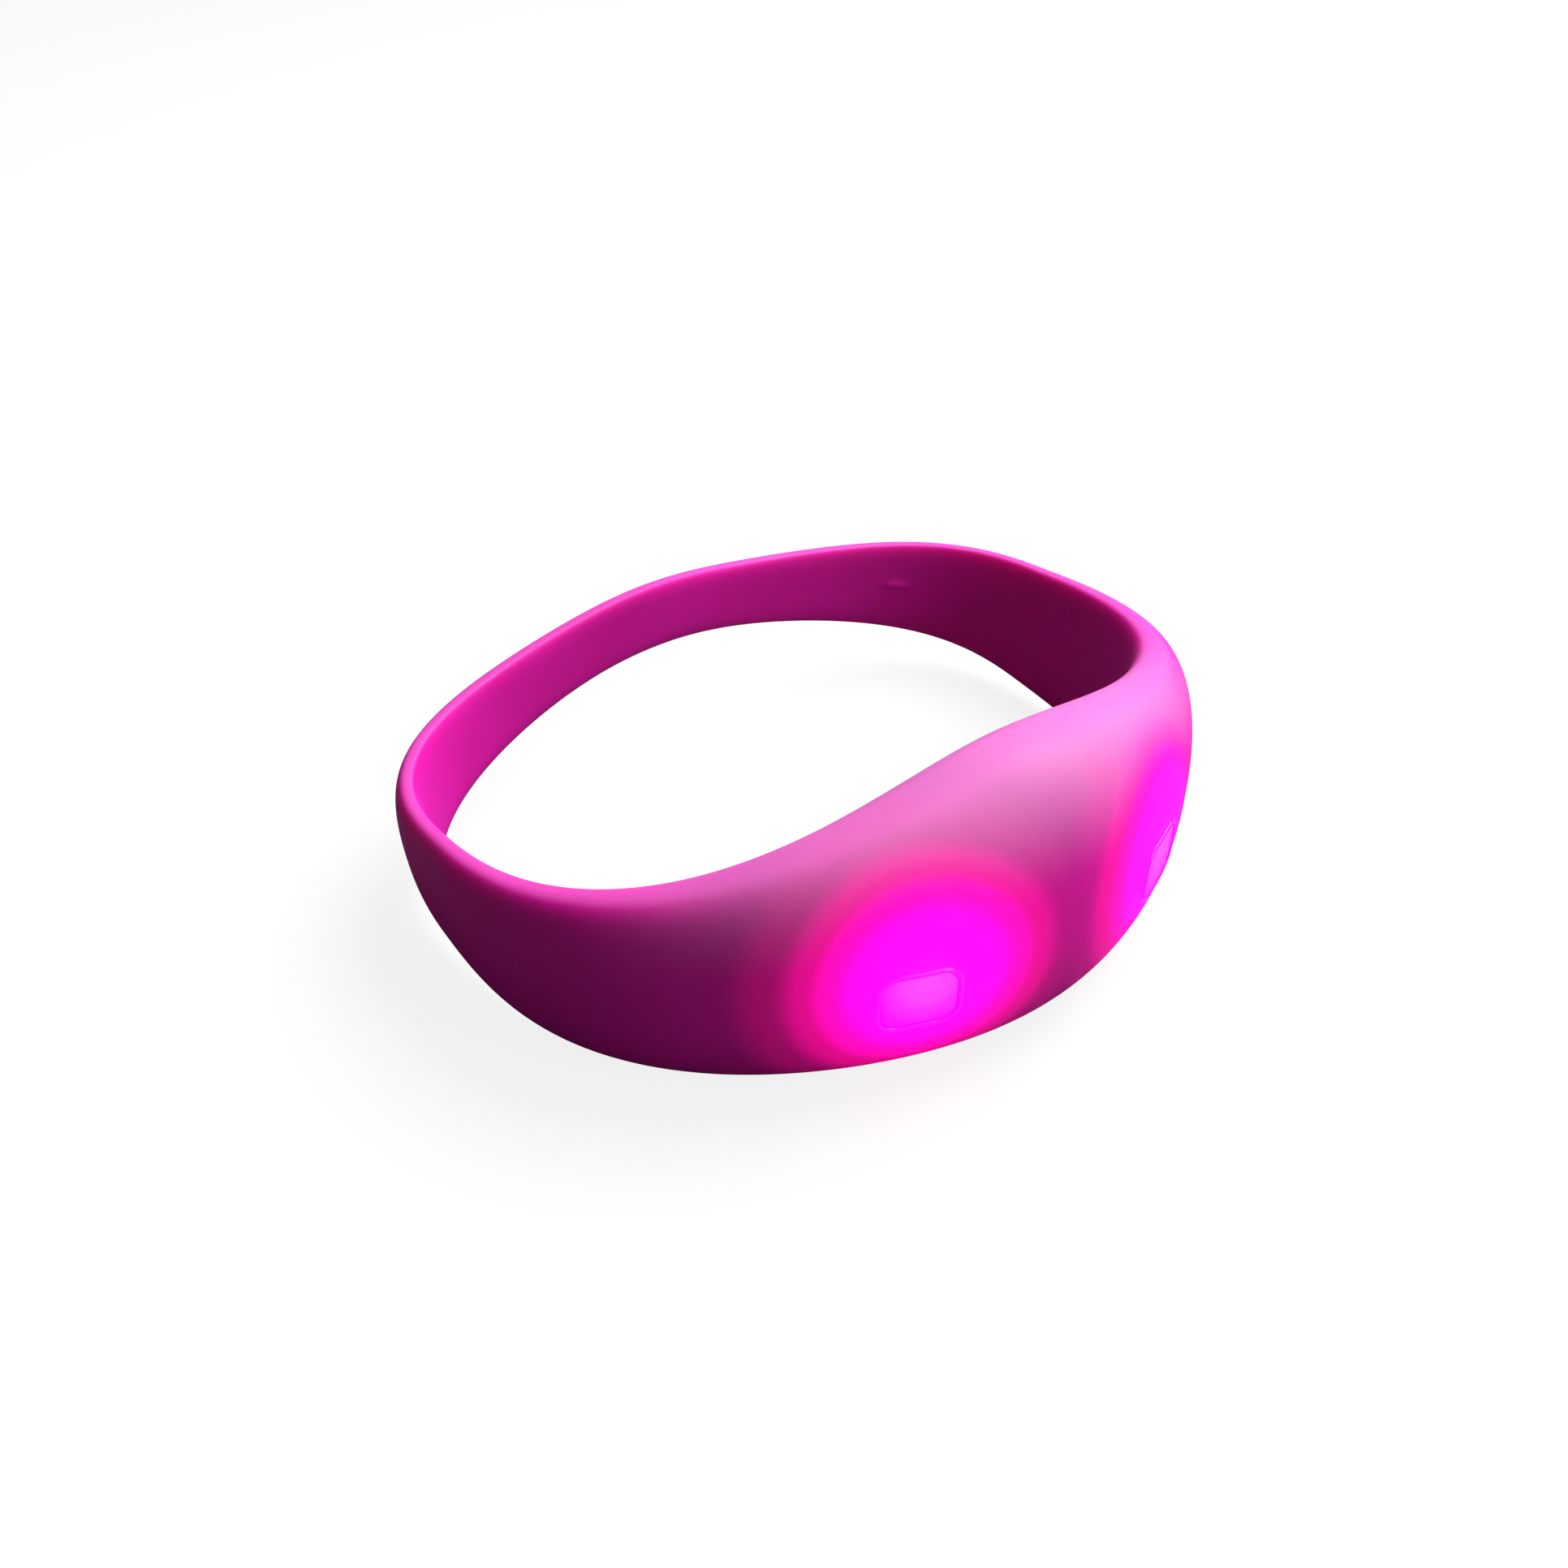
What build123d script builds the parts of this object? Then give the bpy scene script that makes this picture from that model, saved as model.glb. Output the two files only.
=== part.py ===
from build123d import *
import os
from math import cos, pi, radians, sin, tan

# Light-up silicone bracelet: a closed soft loop whose front swells into a pod. A small sealed
# capsule with two lights, a push switch and two coin cells is pushed into a pocket on the wrist
# side of the pod. Frame: +Z is the axis of the wrist loop, the pod faces -Y, X runs across it.
# Everything is drawn about the middle of the loop and then stood on z = 0 when it is written.

# ---- driving dimensions, millimetres and degrees ----

# the loop, from the widest line of its inner face
LOOP_HALF_WIDTH = 37.0
LOOP_FRONT_DEPTH = 29.0
LOOP_BACK_DEPTH = 21.8
LOOP_POWER = 2.5              # 2 is an ellipse, more is squarer
BAND_HEIGHT = 7.8             # at the back
BAND_THICK = 2.7
POD_HEIGHT = 27.6             # at the middle of the front
POD_THICK = 13.6
HEIGHT_TAPER = 2.7            # how fast the pod's height dies away round the loop
THICK_TAPER = 4.5             # how fast its thickness does
SIDE_SWELL = 3.8              # the band is taller than that at its two sides
SADDLE = 2.4                  # the soft loop sags at the sides and lifts at front and back
FLARE = 2.0                   # the upper edge stands out further than the lower one
FLARE_SWING = 2.0             # less so at the front than at the back
FLARE_SIDES = 3.4             # and more so at the two sides
INNER_PART = 0.35             # share of the thickness on the wrist side of the widest line
INNER_POWER = 4.0             # section on the wrist side, nearly flat with rounded corners
OUTER_POWER = 2.4             # section on the outer side, a dome
STATIONS = 12                 # sections lofted from the front to the back, each side

# the capsule in the pod
CAPSULE_Z = 0.8               # middle of the capsule
CAPSULE_REAR = -30.2          # wrist-side face, y
CAPSULE_DEPTH = 10.6          # at the middle
CAPSULE_WIDTH = 39.0
CAPSULE_HEIGHT = 17.6
CAPSULE_CORNER = 6.0
CAPSULE_BULGE = 36.0          # radius of the curved front, seen from above
CAPSULE_EDGE = 3.4            # rounding of the front edge
COVER_THICK = 1.3
SHELL_WALL = 1.2
POCKET_GAP = 0.05             # soft pocket round the hard capsule
FIT_GAP = 0.06                # between pieces that fit into one another
GASKET_WIDTH = 0.5
GASKET_DEPTH = 0.3

# lights and their windows
LIGHT_X = 15.0                # each light from the middle
LIGHT_Z = -0.3                # a little under the middle of the capsule
LENS_WIDTH = 6.1
LENS_HEIGHT = 5.1
LENS_CORNER = 1.3
LENS_FLANGE = 0.8             # rim behind the shell, all round
LENS_GROOVE = 0.15            # between a lens and the edge of its window
LED_WIDTH = 3.4
LED_HEIGHT = 3.0
LED_DEPTH = 1.5
LED_CUP = 2.3                 # diameter of the recess that holds the emitter
LED_CUP_DEPTH = 0.5

# switch and button
BUTTON_TRAVEL = 0.4
BUTTON_DIAMETER = 6.0
BUTTON_FLANGE = 7.6
BUTTON_FLANGE_THICK = 0.8
BUTTON_PLAY = 0.3             # between its flange and the middle of the curved wall
BUTTON_POST = 3.0
SWITCH_SIZE = 4.6
SWITCH_DEPTH = 1.5
SWITCH_PLATE = 0.2
STEM_DIAMETER = 2.2
STEM_PROUD = 0.7              # stem above the switch's metal plate
TERMINAL_SIZE = 0.8

# board and what is soldered to it
BOARD_Y = -34.1               # wrist-side face
BOARD_THICK = 0.8
BOARD_WIDTH = 33.8
BOARD_HEIGHT = 14.4
BOARD_CORNER = 5.0
CHIP_X = 7.6                  # controller on one side of the switch, small parts on the other
CHIP_WIDTH = 3.9
CHIP_HEIGHT = 4.9
CHIP_DEPTH = 1.4
LEAD_PITCH = 1.27
LEAD_LENGTH = 1.0
LEAD_COUNT = 4                # on each side of the chip
RESISTOR_SIZE = 1.6
CAPACITOR_SIZE = 3.2
PARTS_Z = 2.0                 # resistors above the capacitor, from the middle of the board

# cells, side by side behind the board
CELL_X = 7.2
CELL_DIAMETER = 12.5
CELL_THICK = 2.0
CELL_WALL = 0.25
CELL_SEAL = 0.35
CONTACT_THICK = 0.2
HOLDER_GAP = 0.1

# screws that hold the cover
SCREW_X = 15.9
SCREW_Z = 5.0                 # above and below the middle of the capsule
SCREW_THREAD = 1.4
SCREW_HEAD = 2.4
SCREW_HEAD_THICK = 0.8
SCREW_LENGTH = 5.0
SCREW_SLOT = 0.35
BOSS_DIAMETER = 3.0

BOARD_FRONT = BOARD_Y - BOARD_THICK
COVER_INSIDE = CAPSULE_REAR - COVER_THICK
CAPSULE_FRONT = CAPSULE_REAR - CAPSULE_DEPTH
SIDES = {"left": -1, "right": 1}

Z_DIR = Vector(0, 0, 1)


# ---- the silicone band ----

def front_share(angle):
    """1 at the middle of the pod, 0 at the middle of the back."""
    return (1 + cos(angle)) / 2


def loop_point(angle):
    """Point on the inner face at mid-height, angle measured round from the front."""
    depth = LOOP_FRONT_DEPTH if cos(angle) > 0 else LOOP_BACK_DEPTH
    across = abs(sin(angle) / LOOP_HALF_WIDTH) ** LOOP_POWER
    along = abs(cos(angle) / depth) ** LOOP_POWER
    radius = (across + along) ** (-1 / LOOP_POWER)
    return Vector(radius * sin(angle), -radius * cos(angle), 0)


def loop_normal(angle):
    """Level direction out of the loop."""
    step = 0.001
    along = loop_point(angle + step) - loop_point(angle - step)
    return Vector(along.Y, -along.X, 0).normalized()


def half_height(angle):
    rise = (POD_HEIGHT - BAND_HEIGHT) * front_share(angle) ** HEIGHT_TAPER
    return (BAND_HEIGHT + rise + SIDE_SWELL * sin(angle) ** 4) / 2


def thickness(angle):
    return BAND_THICK + (POD_THICK - BAND_THICK) * front_share(angle) ** THICK_TAPER


def section_point(angle, turn):
    """Point of the band's section; turn 0 is the outermost point, a quarter turn the top."""
    outer = cos(turn) >= 0
    power = OUTER_POWER if outer else INNER_POWER
    reach = 1 - INNER_PART if outer else -INNER_PART
    side = thickness(angle) * (INNER_PART + reach * abs(cos(turn)) ** (2 / power))
    rise = half_height(angle) * abs(sin(turn)) ** (2 / power)
    if sin(turn) < 0:
        rise = -rise
    lean = tan(radians(FLARE - FLARE_SWING * cos(angle) - FLARE_SIDES * cos(2 * angle)))
    place = loop_point(angle) + loop_normal(angle) * (side + lean * rise)
    return place + Z_DIR * (SADDLE * cos(2 * angle) + rise)


def band_section(angle):
    """Closed section: the dome outside, the flatter curve on the wrist side."""
    steps = 8
    outer = [section_point(angle, -pi / 2 + pi * i / steps) for i in range(steps + 1)]
    inner = [section_point(angle, pi / 2 + pi * i / steps) for i in range(steps + 1)]
    return Face(Wire([Spline(*outer), Spline(*inner)]))


def band_blank():
    """The whole loop before the capsule's pocket is cut."""
    sections = [band_section(pi * i / STATIONS) for i in range(STATIONS + 1)]
    half = Solid.make_loft([face.outer_wire() for face in sections])
    return half + half.mirror(Plane.YZ)


# ---- shapes shared by the capsule and its pocket ----

def facing(x, y, z=CAPSULE_Z):
    """Plane that looks to the front, so that an extrusion runs towards -Y."""
    return Plane(origin=(x, y, z), x_dir=(1, 0, 0), z_dir=(0, -1, 0))


def plate(width, height, corner, y_back, y_front, x=0.0, z=CAPSULE_Z):
    """Rounded rectangle seen from the front, running from one y to another."""
    outline = facing(x, y_back, z) * RectangleRounded(width, height, corner)
    return extrude(outline, y_back - y_front)


def block(width, height, y_back, y_front, x=0.0, z=CAPSULE_Z):
    outline = facing(x, y_back, z) * Rectangle(width, height)
    return extrude(outline, y_back - y_front)


def disc(diameter, y_back, y_front, x=0.0, z=CAPSULE_Z):
    outline = facing(x, y_back, z) * Circle(diameter / 2)
    return extrude(outline, y_back - y_front)


def capsule_solid(shrink):
    """The capsule's outer shape made smaller all round; a minus sign makes it larger."""
    front = CAPSULE_FRONT + shrink
    bulge = CAPSULE_BULGE - shrink
    bar = plate(CAPSULE_WIDTH - 2 * shrink, CAPSULE_HEIGHT - 2 * shrink,
                CAPSULE_CORNER - shrink, CAPSULE_REAR, front - 1)
    drum = Pos(0, front + bulge, CAPSULE_Z) * Cylinder(bulge, CAPSULE_HEIGHT * 2)
    shape = bar & drum
    rim = [e for e in shape.edges() if max(v.Y for v in e.vertices()) < CAPSULE_REAR - 1]
    return fillet(rim, CAPSULE_EDGE - shrink)


def screw_places():
    return [(x * SCREW_X, CAPSULE_Z + z * SCREW_Z) for x in (-1, 1) for z in (-1, 1)]


def lens_window(x, grow):
    """Straight passage for a lens, from the board out past the skin of the pod."""
    return plate(LENS_WIDTH + 2 * grow, LENS_HEIGHT + 2 * grow, LENS_CORNER + grow,
                 BOARD_FRONT, CAPSULE_FRONT - POD_THICK, x, LIGHT_Z)


def silicone_band(blank):
    wide = CAPSULE_WIDTH + 2 * POCKET_GAP
    high = CAPSULE_HEIGHT + 2 * POCKET_GAP
    mouth = plate(wide, high, CAPSULE_CORNER + POCKET_GAP, 0, COVER_INSIDE)
    band = blank - capsule_solid(-POCKET_GAP) - mouth
    for side in SIDES.values():
        band -= lens_window(side * LIGHT_X, LENS_GROOVE)
    return band


# ---- the capsule's hard pieces ----

def gasket_ring(grow=0.0):
    middle = SHELL_WALL / 2
    outer = middle - GASKET_WIDTH / 2 - grow
    inner = middle + GASKET_WIDTH / 2 + grow
    front = COVER_INSIDE - GASKET_DEPTH - grow
    ring = plate(CAPSULE_WIDTH - 2 * outer, CAPSULE_HEIGHT - 2 * outer,
                 CAPSULE_CORNER - outer, COVER_INSIDE, front)
    return ring - plate(CAPSULE_WIDTH - 2 * inner, CAPSULE_HEIGHT - 2 * inner,
                        CAPSULE_CORNER - inner, COVER_INSIDE, front)


def capsule_shell():
    shell = capsule_solid(0)
    cavity = capsule_solid(SHELL_WALL)
    for x, z in screw_places():
        cavity -= disc(BOSS_DIAMETER, 0, CAPSULE_FRONT, x, z)
    shell -= cavity
    shell -= block(2 * CAPSULE_WIDTH, 2 * CAPSULE_HEIGHT, 0, COVER_INSIDE)
    shell -= gasket_ring(FIT_GAP / 2)
    for x, z in screw_places():
        shell -= disc(SCREW_THREAD + FIT_GAP, 0, CAPSULE_REAR - SCREW_LENGTH - FIT_GAP, x, z)
    for side in SIDES.values():
        shell -= lens_window(side * LIGHT_X, FIT_GAP / 2)
    return shell - disc(BUTTON_DIAMETER + 2 * FIT_GAP, BOARD_Y, 2 * CAPSULE_FRONT)


def rear_cover():
    cover = plate(CAPSULE_WIDTH, CAPSULE_HEIGHT, CAPSULE_CORNER, CAPSULE_REAR, COVER_INSIDE)
    head_seat = CAPSULE_REAR - SCREW_HEAD_THICK
    for x, z in screw_places():
        cover -= disc(SCREW_THREAD + 2 * FIT_GAP, 0, COVER_INSIDE, x, z)
        cover -= disc(SCREW_HEAD + 2 * FIT_GAP, 0, head_seat, x, z)
    return cover


def cover_screw(x, z):
    head_seat = CAPSULE_REAR - SCREW_HEAD_THICK
    head = disc(SCREW_HEAD, CAPSULE_REAR, head_seat, x, z)
    for wide, high in ((SCREW_HEAD * 0.7, SCREW_SLOT), (SCREW_SLOT, SCREW_HEAD * 0.7)):
        head -= block(wide, high, CAPSULE_REAR, CAPSULE_REAR - SCREW_HEAD_THICK / 2, x, z)
    return head + disc(SCREW_THREAD, head_seat, CAPSULE_REAR - SCREW_LENGTH, x, z)


def light_lens(blank, side):
    x = side * LIGHT_X
    boss = lens_window(x, 0) & blank
    flange = plate(LENS_WIDTH + 2 * LENS_FLANGE, LENS_HEIGHT + 2 * LENS_FLANGE,
                   LENS_CORNER + LENS_FLANGE, BOARD_FRONT - HOLDER_GAP, CAPSULE_FRONT,
                   x, LIGHT_Z)
    flange &= capsule_solid(SHELL_WALL + FIT_GAP)
    for screw_x, z in screw_places():
        flange -= disc(BOSS_DIAMETER + 2 * FIT_GAP, 0, CAPSULE_FRONT, screw_x, z)
    led_space = block(LED_WIDTH + 2 * HOLDER_GAP, LED_HEIGHT + 2 * HOLDER_GAP,
                      0, BOARD_FRONT - LED_DEPTH - HOLDER_GAP, x, LIGHT_Z)
    lens = boss + flange - led_space
    return lens - block(4 * LENS_WIDTH, 4 * LENS_HEIGHT, 0, BOARD_FRONT - HOLDER_GAP, x)


# ---- the button and its switch ----

def button_plunger():
    flange_front = CAPSULE_FRONT + SHELL_WALL + BUTTON_PLAY
    flange_back = flange_front + BUTTON_FLANGE_THICK
    post_end = switch_top() - STEM_PROUD
    face = disc(BUTTON_DIAMETER, flange_back, 2 * CAPSULE_FRONT) & capsule_solid(0)
    flange = disc(BUTTON_FLANGE, flange_back, flange_front)
    return face + flange + disc(BUTTON_POST, post_end, flange_back)


def switch_top():
    """Front of the switch's metal plate."""
    return BOARD_FRONT - SWITCH_DEPTH - SWITCH_PLATE


def switch_housing():
    housing = block(SWITCH_SIZE, SWITCH_SIZE, BOARD_FRONT, BOARD_FRONT - SWITCH_DEPTH)
    floor = BOARD_FRONT - SWITCH_DEPTH / 4
    return housing - disc(STEM_DIAMETER + 2 * FIT_GAP, floor, switch_top())


def switch_plate():
    sheet = block(SWITCH_SIZE, SWITCH_SIZE, BOARD_FRONT - SWITCH_DEPTH, switch_top())
    return sheet - disc(STEM_DIAMETER + 2 * FIT_GAP, BOARD_FRONT, switch_top())


def switch_stem():
    inner_end = BOARD_FRONT - SWITCH_DEPTH / 4 - BUTTON_TRAVEL - HOLDER_GAP
    return disc(STEM_DIAMETER, inner_end, switch_top() - STEM_PROUD)


def switch_terminal(x_side, z_side):
    x = x_side * (SWITCH_SIZE + TERMINAL_SIZE) / 2
    z = CAPSULE_Z + z_side * SWITCH_SIZE / 3
    return block(TERMINAL_SIZE, TERMINAL_SIZE, BOARD_FRONT, BOARD_FRONT - CONTACT_THICK, x, z)


# ---- the board and its small parts ----

def circuit_board():
    board = plate(BOARD_WIDTH, BOARD_HEIGHT, BOARD_CORNER, BOARD_Y, BOARD_FRONT)
    for x, z in screw_places():
        board -= disc(BOSS_DIAMETER + 2 * HOLDER_GAP, 0, CAPSULE_FRONT, x, z)
    return board


def light_diode(side):
    x = side * LIGHT_X
    front = BOARD_FRONT - LED_DEPTH
    body = block(LED_WIDTH, LED_HEIGHT, BOARD_FRONT, front, x, LIGHT_Z)
    return body - disc(LED_CUP, front + LED_CUP_DEPTH, front, x, LIGHT_Z)


def controller_chip():
    return block(CHIP_WIDTH, CHIP_HEIGHT, BOARD_FRONT, BOARD_FRONT - CHIP_DEPTH, CHIP_X)


def chip_lead(x_side, row):
    x = CHIP_X + x_side * (CHIP_WIDTH + LEAD_LENGTH) / 2
    z = CAPSULE_Z + (row - (LEAD_COUNT - 1) / 2) * LEAD_PITCH
    return block(LEAD_LENGTH, LEAD_PITCH / 3, BOARD_FRONT, BOARD_FRONT - CONTACT_THICK, x, z)


def small_part(length, x, z):
    """Chip resistor or capacitor, half as high as it is long."""
    return block(length / 2, length, BOARD_FRONT, BOARD_FRONT - length / 3, x, z)


# ---- the cells and their contacts ----

def cell_back():
    return COVER_INSIDE - CONTACT_THICK


def cell_pieces(side):
    """Can, cap and seal. The two cells lie opposite ways up."""
    x = side * CELL_X
    back = cell_back()
    front = back - CELL_THICK
    can = disc(CELL_DIAMETER, back, front, x)
    inside = CELL_DIAMETER - 2 * CELL_WALL
    cap_size = inside - 2 * CELL_SEAL
    if side > 0:
        cavity_back, cavity_front = back, front + CELL_WALL
    else:
        cavity_back, cavity_front = back - CELL_WALL, front
    can -= disc(inside, cavity_back, cavity_front, x)
    cap = disc(cap_size, cavity_back, cavity_front, x)
    seal = disc(inside, cavity_back, cavity_front, x) - cap
    return {"can": can, "cap": cap, "seal": seal}


def cell_holder():
    back = cell_back() - HOLDER_GAP
    holder = plate(BOARD_WIDTH, BOARD_HEIGHT, BOARD_CORNER, back, BOARD_Y)
    for side in SIDES.values():
        holder -= disc(CELL_DIAMETER + 2 * HOLDER_GAP, 0, BOARD_FRONT, side * CELL_X)
    for x, z in screw_places():
        holder -= disc(BOSS_DIAMETER + 2 * HOLDER_GAP, 0, CAPSULE_FRONT, x, z)
    return holder


def bridge_contact():
    """Strip on the cover that joins the backs of the two cells."""
    strip = block(2 * CELL_X, CELL_DIAMETER / 3, COVER_INSIDE, cell_back())
    for side in SIDES.values():
        strip += disc(CELL_DIAMETER / 2, COVER_INSIDE, cell_back(), side * CELL_X)
    return strip


def board_contact(side):
    """Folded leaf between a cell and the board."""
    back = cell_back() - CELL_THICK
    x = side * CELL_X
    leaf = block(CELL_DIAMETER / 2, CELL_DIAMETER / 3, back, BOARD_Y, x)
    fold = (back - BOARD_Y) / 3
    return leaf - block(CELL_DIAMETER / 2, CELL_DIAMETER / 2, back - fold, BOARD_Y + fold, x + fold)


# ---- every node ----

def assembly():
    blank = band_blank()
    nodes = {
        "silicone_band": silicone_band(blank),
        "capsule_shell": capsule_shell(),
        "rear_cover": rear_cover(),
        "cover_gasket": gasket_ring(),
        "cover_screws": Compound([cover_screw(x, z) for x, z in screw_places()]),
        "button_plunger": button_plunger(),
        "switch_housing": switch_housing(),
        "switch_plate": switch_plate(),
        "switch_stem": switch_stem(),
        "switch_terminals": Compound([switch_terminal(x, z) for x in (-1, 1) for z in (-1, 1)]),
        "circuit_board": circuit_board(),
        "controller_chip": controller_chip(),
        "controller_leads": Compound([chip_lead(x, row)
                                      for x in (-1, 1) for row in range(LEAD_COUNT)]),
        "light_resistors": Compound([small_part(RESISTOR_SIZE, -CHIP_X + x, CAPSULE_Z + PARTS_Z)
                                     for x in (-RESISTOR_SIZE, RESISTOR_SIZE)]),
        "supply_capacitor": small_part(CAPACITOR_SIZE, -CHIP_X, CAPSULE_Z - PARTS_Z),
        "cell_holder": cell_holder(),
        "bridge_contact": bridge_contact(),
    }
    for name, side in SIDES.items():
        nodes[name + "_light_lens"] = light_lens(blank, side)
        nodes[name + "_light_diode"] = light_diode(side)
        nodes[name + "_board_contact"] = board_contact(side)
        for piece, solid in cell_pieces(side).items():
            nodes[name + "_cell_" + piece] = solid
    return nodes


def write_parts():
    os.makedirs("parts", exist_ok=True)
    nodes = assembly()
    box = nodes["silicone_band"].bounding_box()
    stand = Pos(-box.center().X, -box.center().Y, -box.min.Z)
    print("moved by", -box.center().Y, -box.min.Z, "size", box.size)
    for name, shape in nodes.items():
        export_step(stand * shape, "parts/" + name + ".step")


write_parts()
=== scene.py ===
import math

import bmesh
import bpy
from mathutils import Matrix, Vector
from mathutils.kdtree import KDTree


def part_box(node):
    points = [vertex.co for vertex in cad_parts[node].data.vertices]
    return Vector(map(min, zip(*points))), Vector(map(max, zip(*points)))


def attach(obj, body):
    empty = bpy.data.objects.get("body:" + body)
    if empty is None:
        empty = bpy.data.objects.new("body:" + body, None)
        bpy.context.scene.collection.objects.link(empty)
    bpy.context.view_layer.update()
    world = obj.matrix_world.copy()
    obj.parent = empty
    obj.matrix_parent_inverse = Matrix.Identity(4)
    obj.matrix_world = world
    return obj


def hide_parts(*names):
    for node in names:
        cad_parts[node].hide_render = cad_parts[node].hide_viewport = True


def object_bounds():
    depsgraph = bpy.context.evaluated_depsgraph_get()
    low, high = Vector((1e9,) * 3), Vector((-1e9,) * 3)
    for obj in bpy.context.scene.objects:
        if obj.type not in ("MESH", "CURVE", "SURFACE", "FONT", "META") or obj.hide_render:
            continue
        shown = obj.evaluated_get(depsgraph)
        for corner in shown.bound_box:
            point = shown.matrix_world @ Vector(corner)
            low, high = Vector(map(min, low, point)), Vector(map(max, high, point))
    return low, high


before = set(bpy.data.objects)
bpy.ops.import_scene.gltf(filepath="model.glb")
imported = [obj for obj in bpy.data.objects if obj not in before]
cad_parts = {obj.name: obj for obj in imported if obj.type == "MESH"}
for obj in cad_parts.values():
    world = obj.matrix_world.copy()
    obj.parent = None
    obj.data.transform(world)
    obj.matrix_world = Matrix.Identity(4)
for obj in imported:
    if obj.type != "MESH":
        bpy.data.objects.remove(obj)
cad_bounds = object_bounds()
MM = 0.001


# ---- Silicone band ----
# One closed loop of translucent pink silicone, moulded in one piece with the pod that holds the
# capsule. It is thin round the back of the wrist and swells to a domed pod at the front, with a
# pocket on the wrist side and two windows. It stretches over the capsule and nothing else holds it.
BAND = {
    "Half Width": 37.0 * MM,
    "Front Depth": 29.0 * MM,
    "Back Depth": 21.8 * MM,
    "Squareness": 2.5,
    "Band Height": 7.8 * MM,
    "Band Thickness": 2.7 * MM,
    "Pod Height": 27.6 * MM,
    "Pod Thickness": 13.6 * MM,
    "Height Taper": 2.7,
    "Thickness Taper": 4.5,
    "Side Swell": 3.8 * MM,
    "Saddle": 2.4 * MM,
    "Flare": math.radians(2.0),
    "Flare Swing": math.radians(2.0),
    "Flare Sides": math.radians(3.4),
    "Wrist Side Part": 0.35,
    "Wrist Side Power": 4.0,
    "Outer Power": 2.4,
    "Mark Angle": math.radians(116.5),
    "Mark Half Length": 0.046,
    "Mark Level": 0.10,
    "Mark Half Height": 0.10,
    "Mark Rise": 0.32 * MM,
}
BAND_AROUND = 420
BAND_ACROSS = 112
SEAM_GAP = 0.001 * MM


class Number:
    """A number that a node tree works out, so that its formula can be written as one."""

    def __init__(self, tree, socket):
        self.tree = tree
        self.socket = socket

    def by(self, operation, *others):
        node = self.tree.nodes.new("ShaderNodeMath")
        node.operation = operation
        for slot, value in zip(node.inputs, (self, *others)):
            if isinstance(value, Number):
                self.tree.links.new(value.socket, slot)
            else:
                slot.default_value = value
        return Number(self.tree, node.outputs[0])

    def __add__(self, other):
        return self.by("ADD", other)

    def __sub__(self, other):
        return self.by("SUBTRACT", other)

    def __mul__(self, other):
        return self.by("MULTIPLY", other)

    def __truediv__(self, other):
        return self.by("DIVIDE", other)

    def __pow__(self, other):
        return self.by("POWER", other)


def add_node(tree, kind, values=None, links=None, **settings):
    """Node with its settings, and with values or links for its sockets."""
    node = tree.nodes.new(kind)
    for key, value in settings.items():
        setattr(node, key, value)
    for key, value in (values or {}).items():
        node.inputs[key].default_value = value
    for key, value in (links or {}).items():
        tree.links.new(value.socket if isinstance(value, Number) else value, node.inputs[key])
    return node


def node_group(kind, name, inputs, outputs):
    """Node group with named sockets; inputs are (name, socket type, value)."""
    group = bpy.data.node_groups.new(name, kind)
    for label, socket_type, value in inputs:
        socket = group.interface.new_socket(label, in_out="INPUT", socket_type=socket_type)
        if value is not None:
            socket.default_value = value
    for label, socket_type in outputs:
        group.interface.new_socket(label, in_out="OUTPUT", socket_type=socket_type)
    return group


def end_tree(tree, geometry, material):
    """Ends a geometry tree: shaded smooth, made real, and in its material."""
    smooth = add_node(tree, "GeometryNodeSetShadeSmooth", links={"Geometry": geometry})
    real = add_node(tree, "GeometryNodeRealizeInstances", links={0: smooth.outputs[0]})
    dressed = add_node(tree, "GeometryNodeSetMaterial",
                       links={"Geometry": real.outputs[0], "Material": material})
    add_node(tree, "NodeGroupOutput", links={0: dressed.outputs[0]})


def made_by_nodes(name, tree, values, start=None):
    """Runs a geometry tree with these input values; its result is a plain mesh object."""
    host = bpy.data.objects.new(name + "_host", start or bpy.data.meshes.new(name + "_host"))
    bpy.context.collection.objects.link(host)
    modifier = host.modifiers.new("nodes", "NODES")
    modifier.node_group = tree
    for item in tree.interface.items_tree:
        if item.item_type == "SOCKET" and item.in_out == "INPUT" and item.name in values:
            modifier[item.identifier] = values[item.name]
    piece = plain_mesh(name, host)
    bpy.data.objects.remove(host)
    return piece


def plain_mesh(name, source):
    """What an object looks like with its modifiers, as a new object without them."""
    graph = bpy.context.evaluated_depsgraph_get()
    graph.update()
    mesh = bpy.data.meshes.new_from_object(source.evaluated_get(graph))
    mesh.name = name
    materials = [material for material in mesh.materials if material]
    mesh.materials.clear()
    for material in materials:
        mesh.materials.append(material)
    piece = bpy.data.objects.new(name, mesh)
    bpy.context.collection.objects.link(piece)
    return piece


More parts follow.
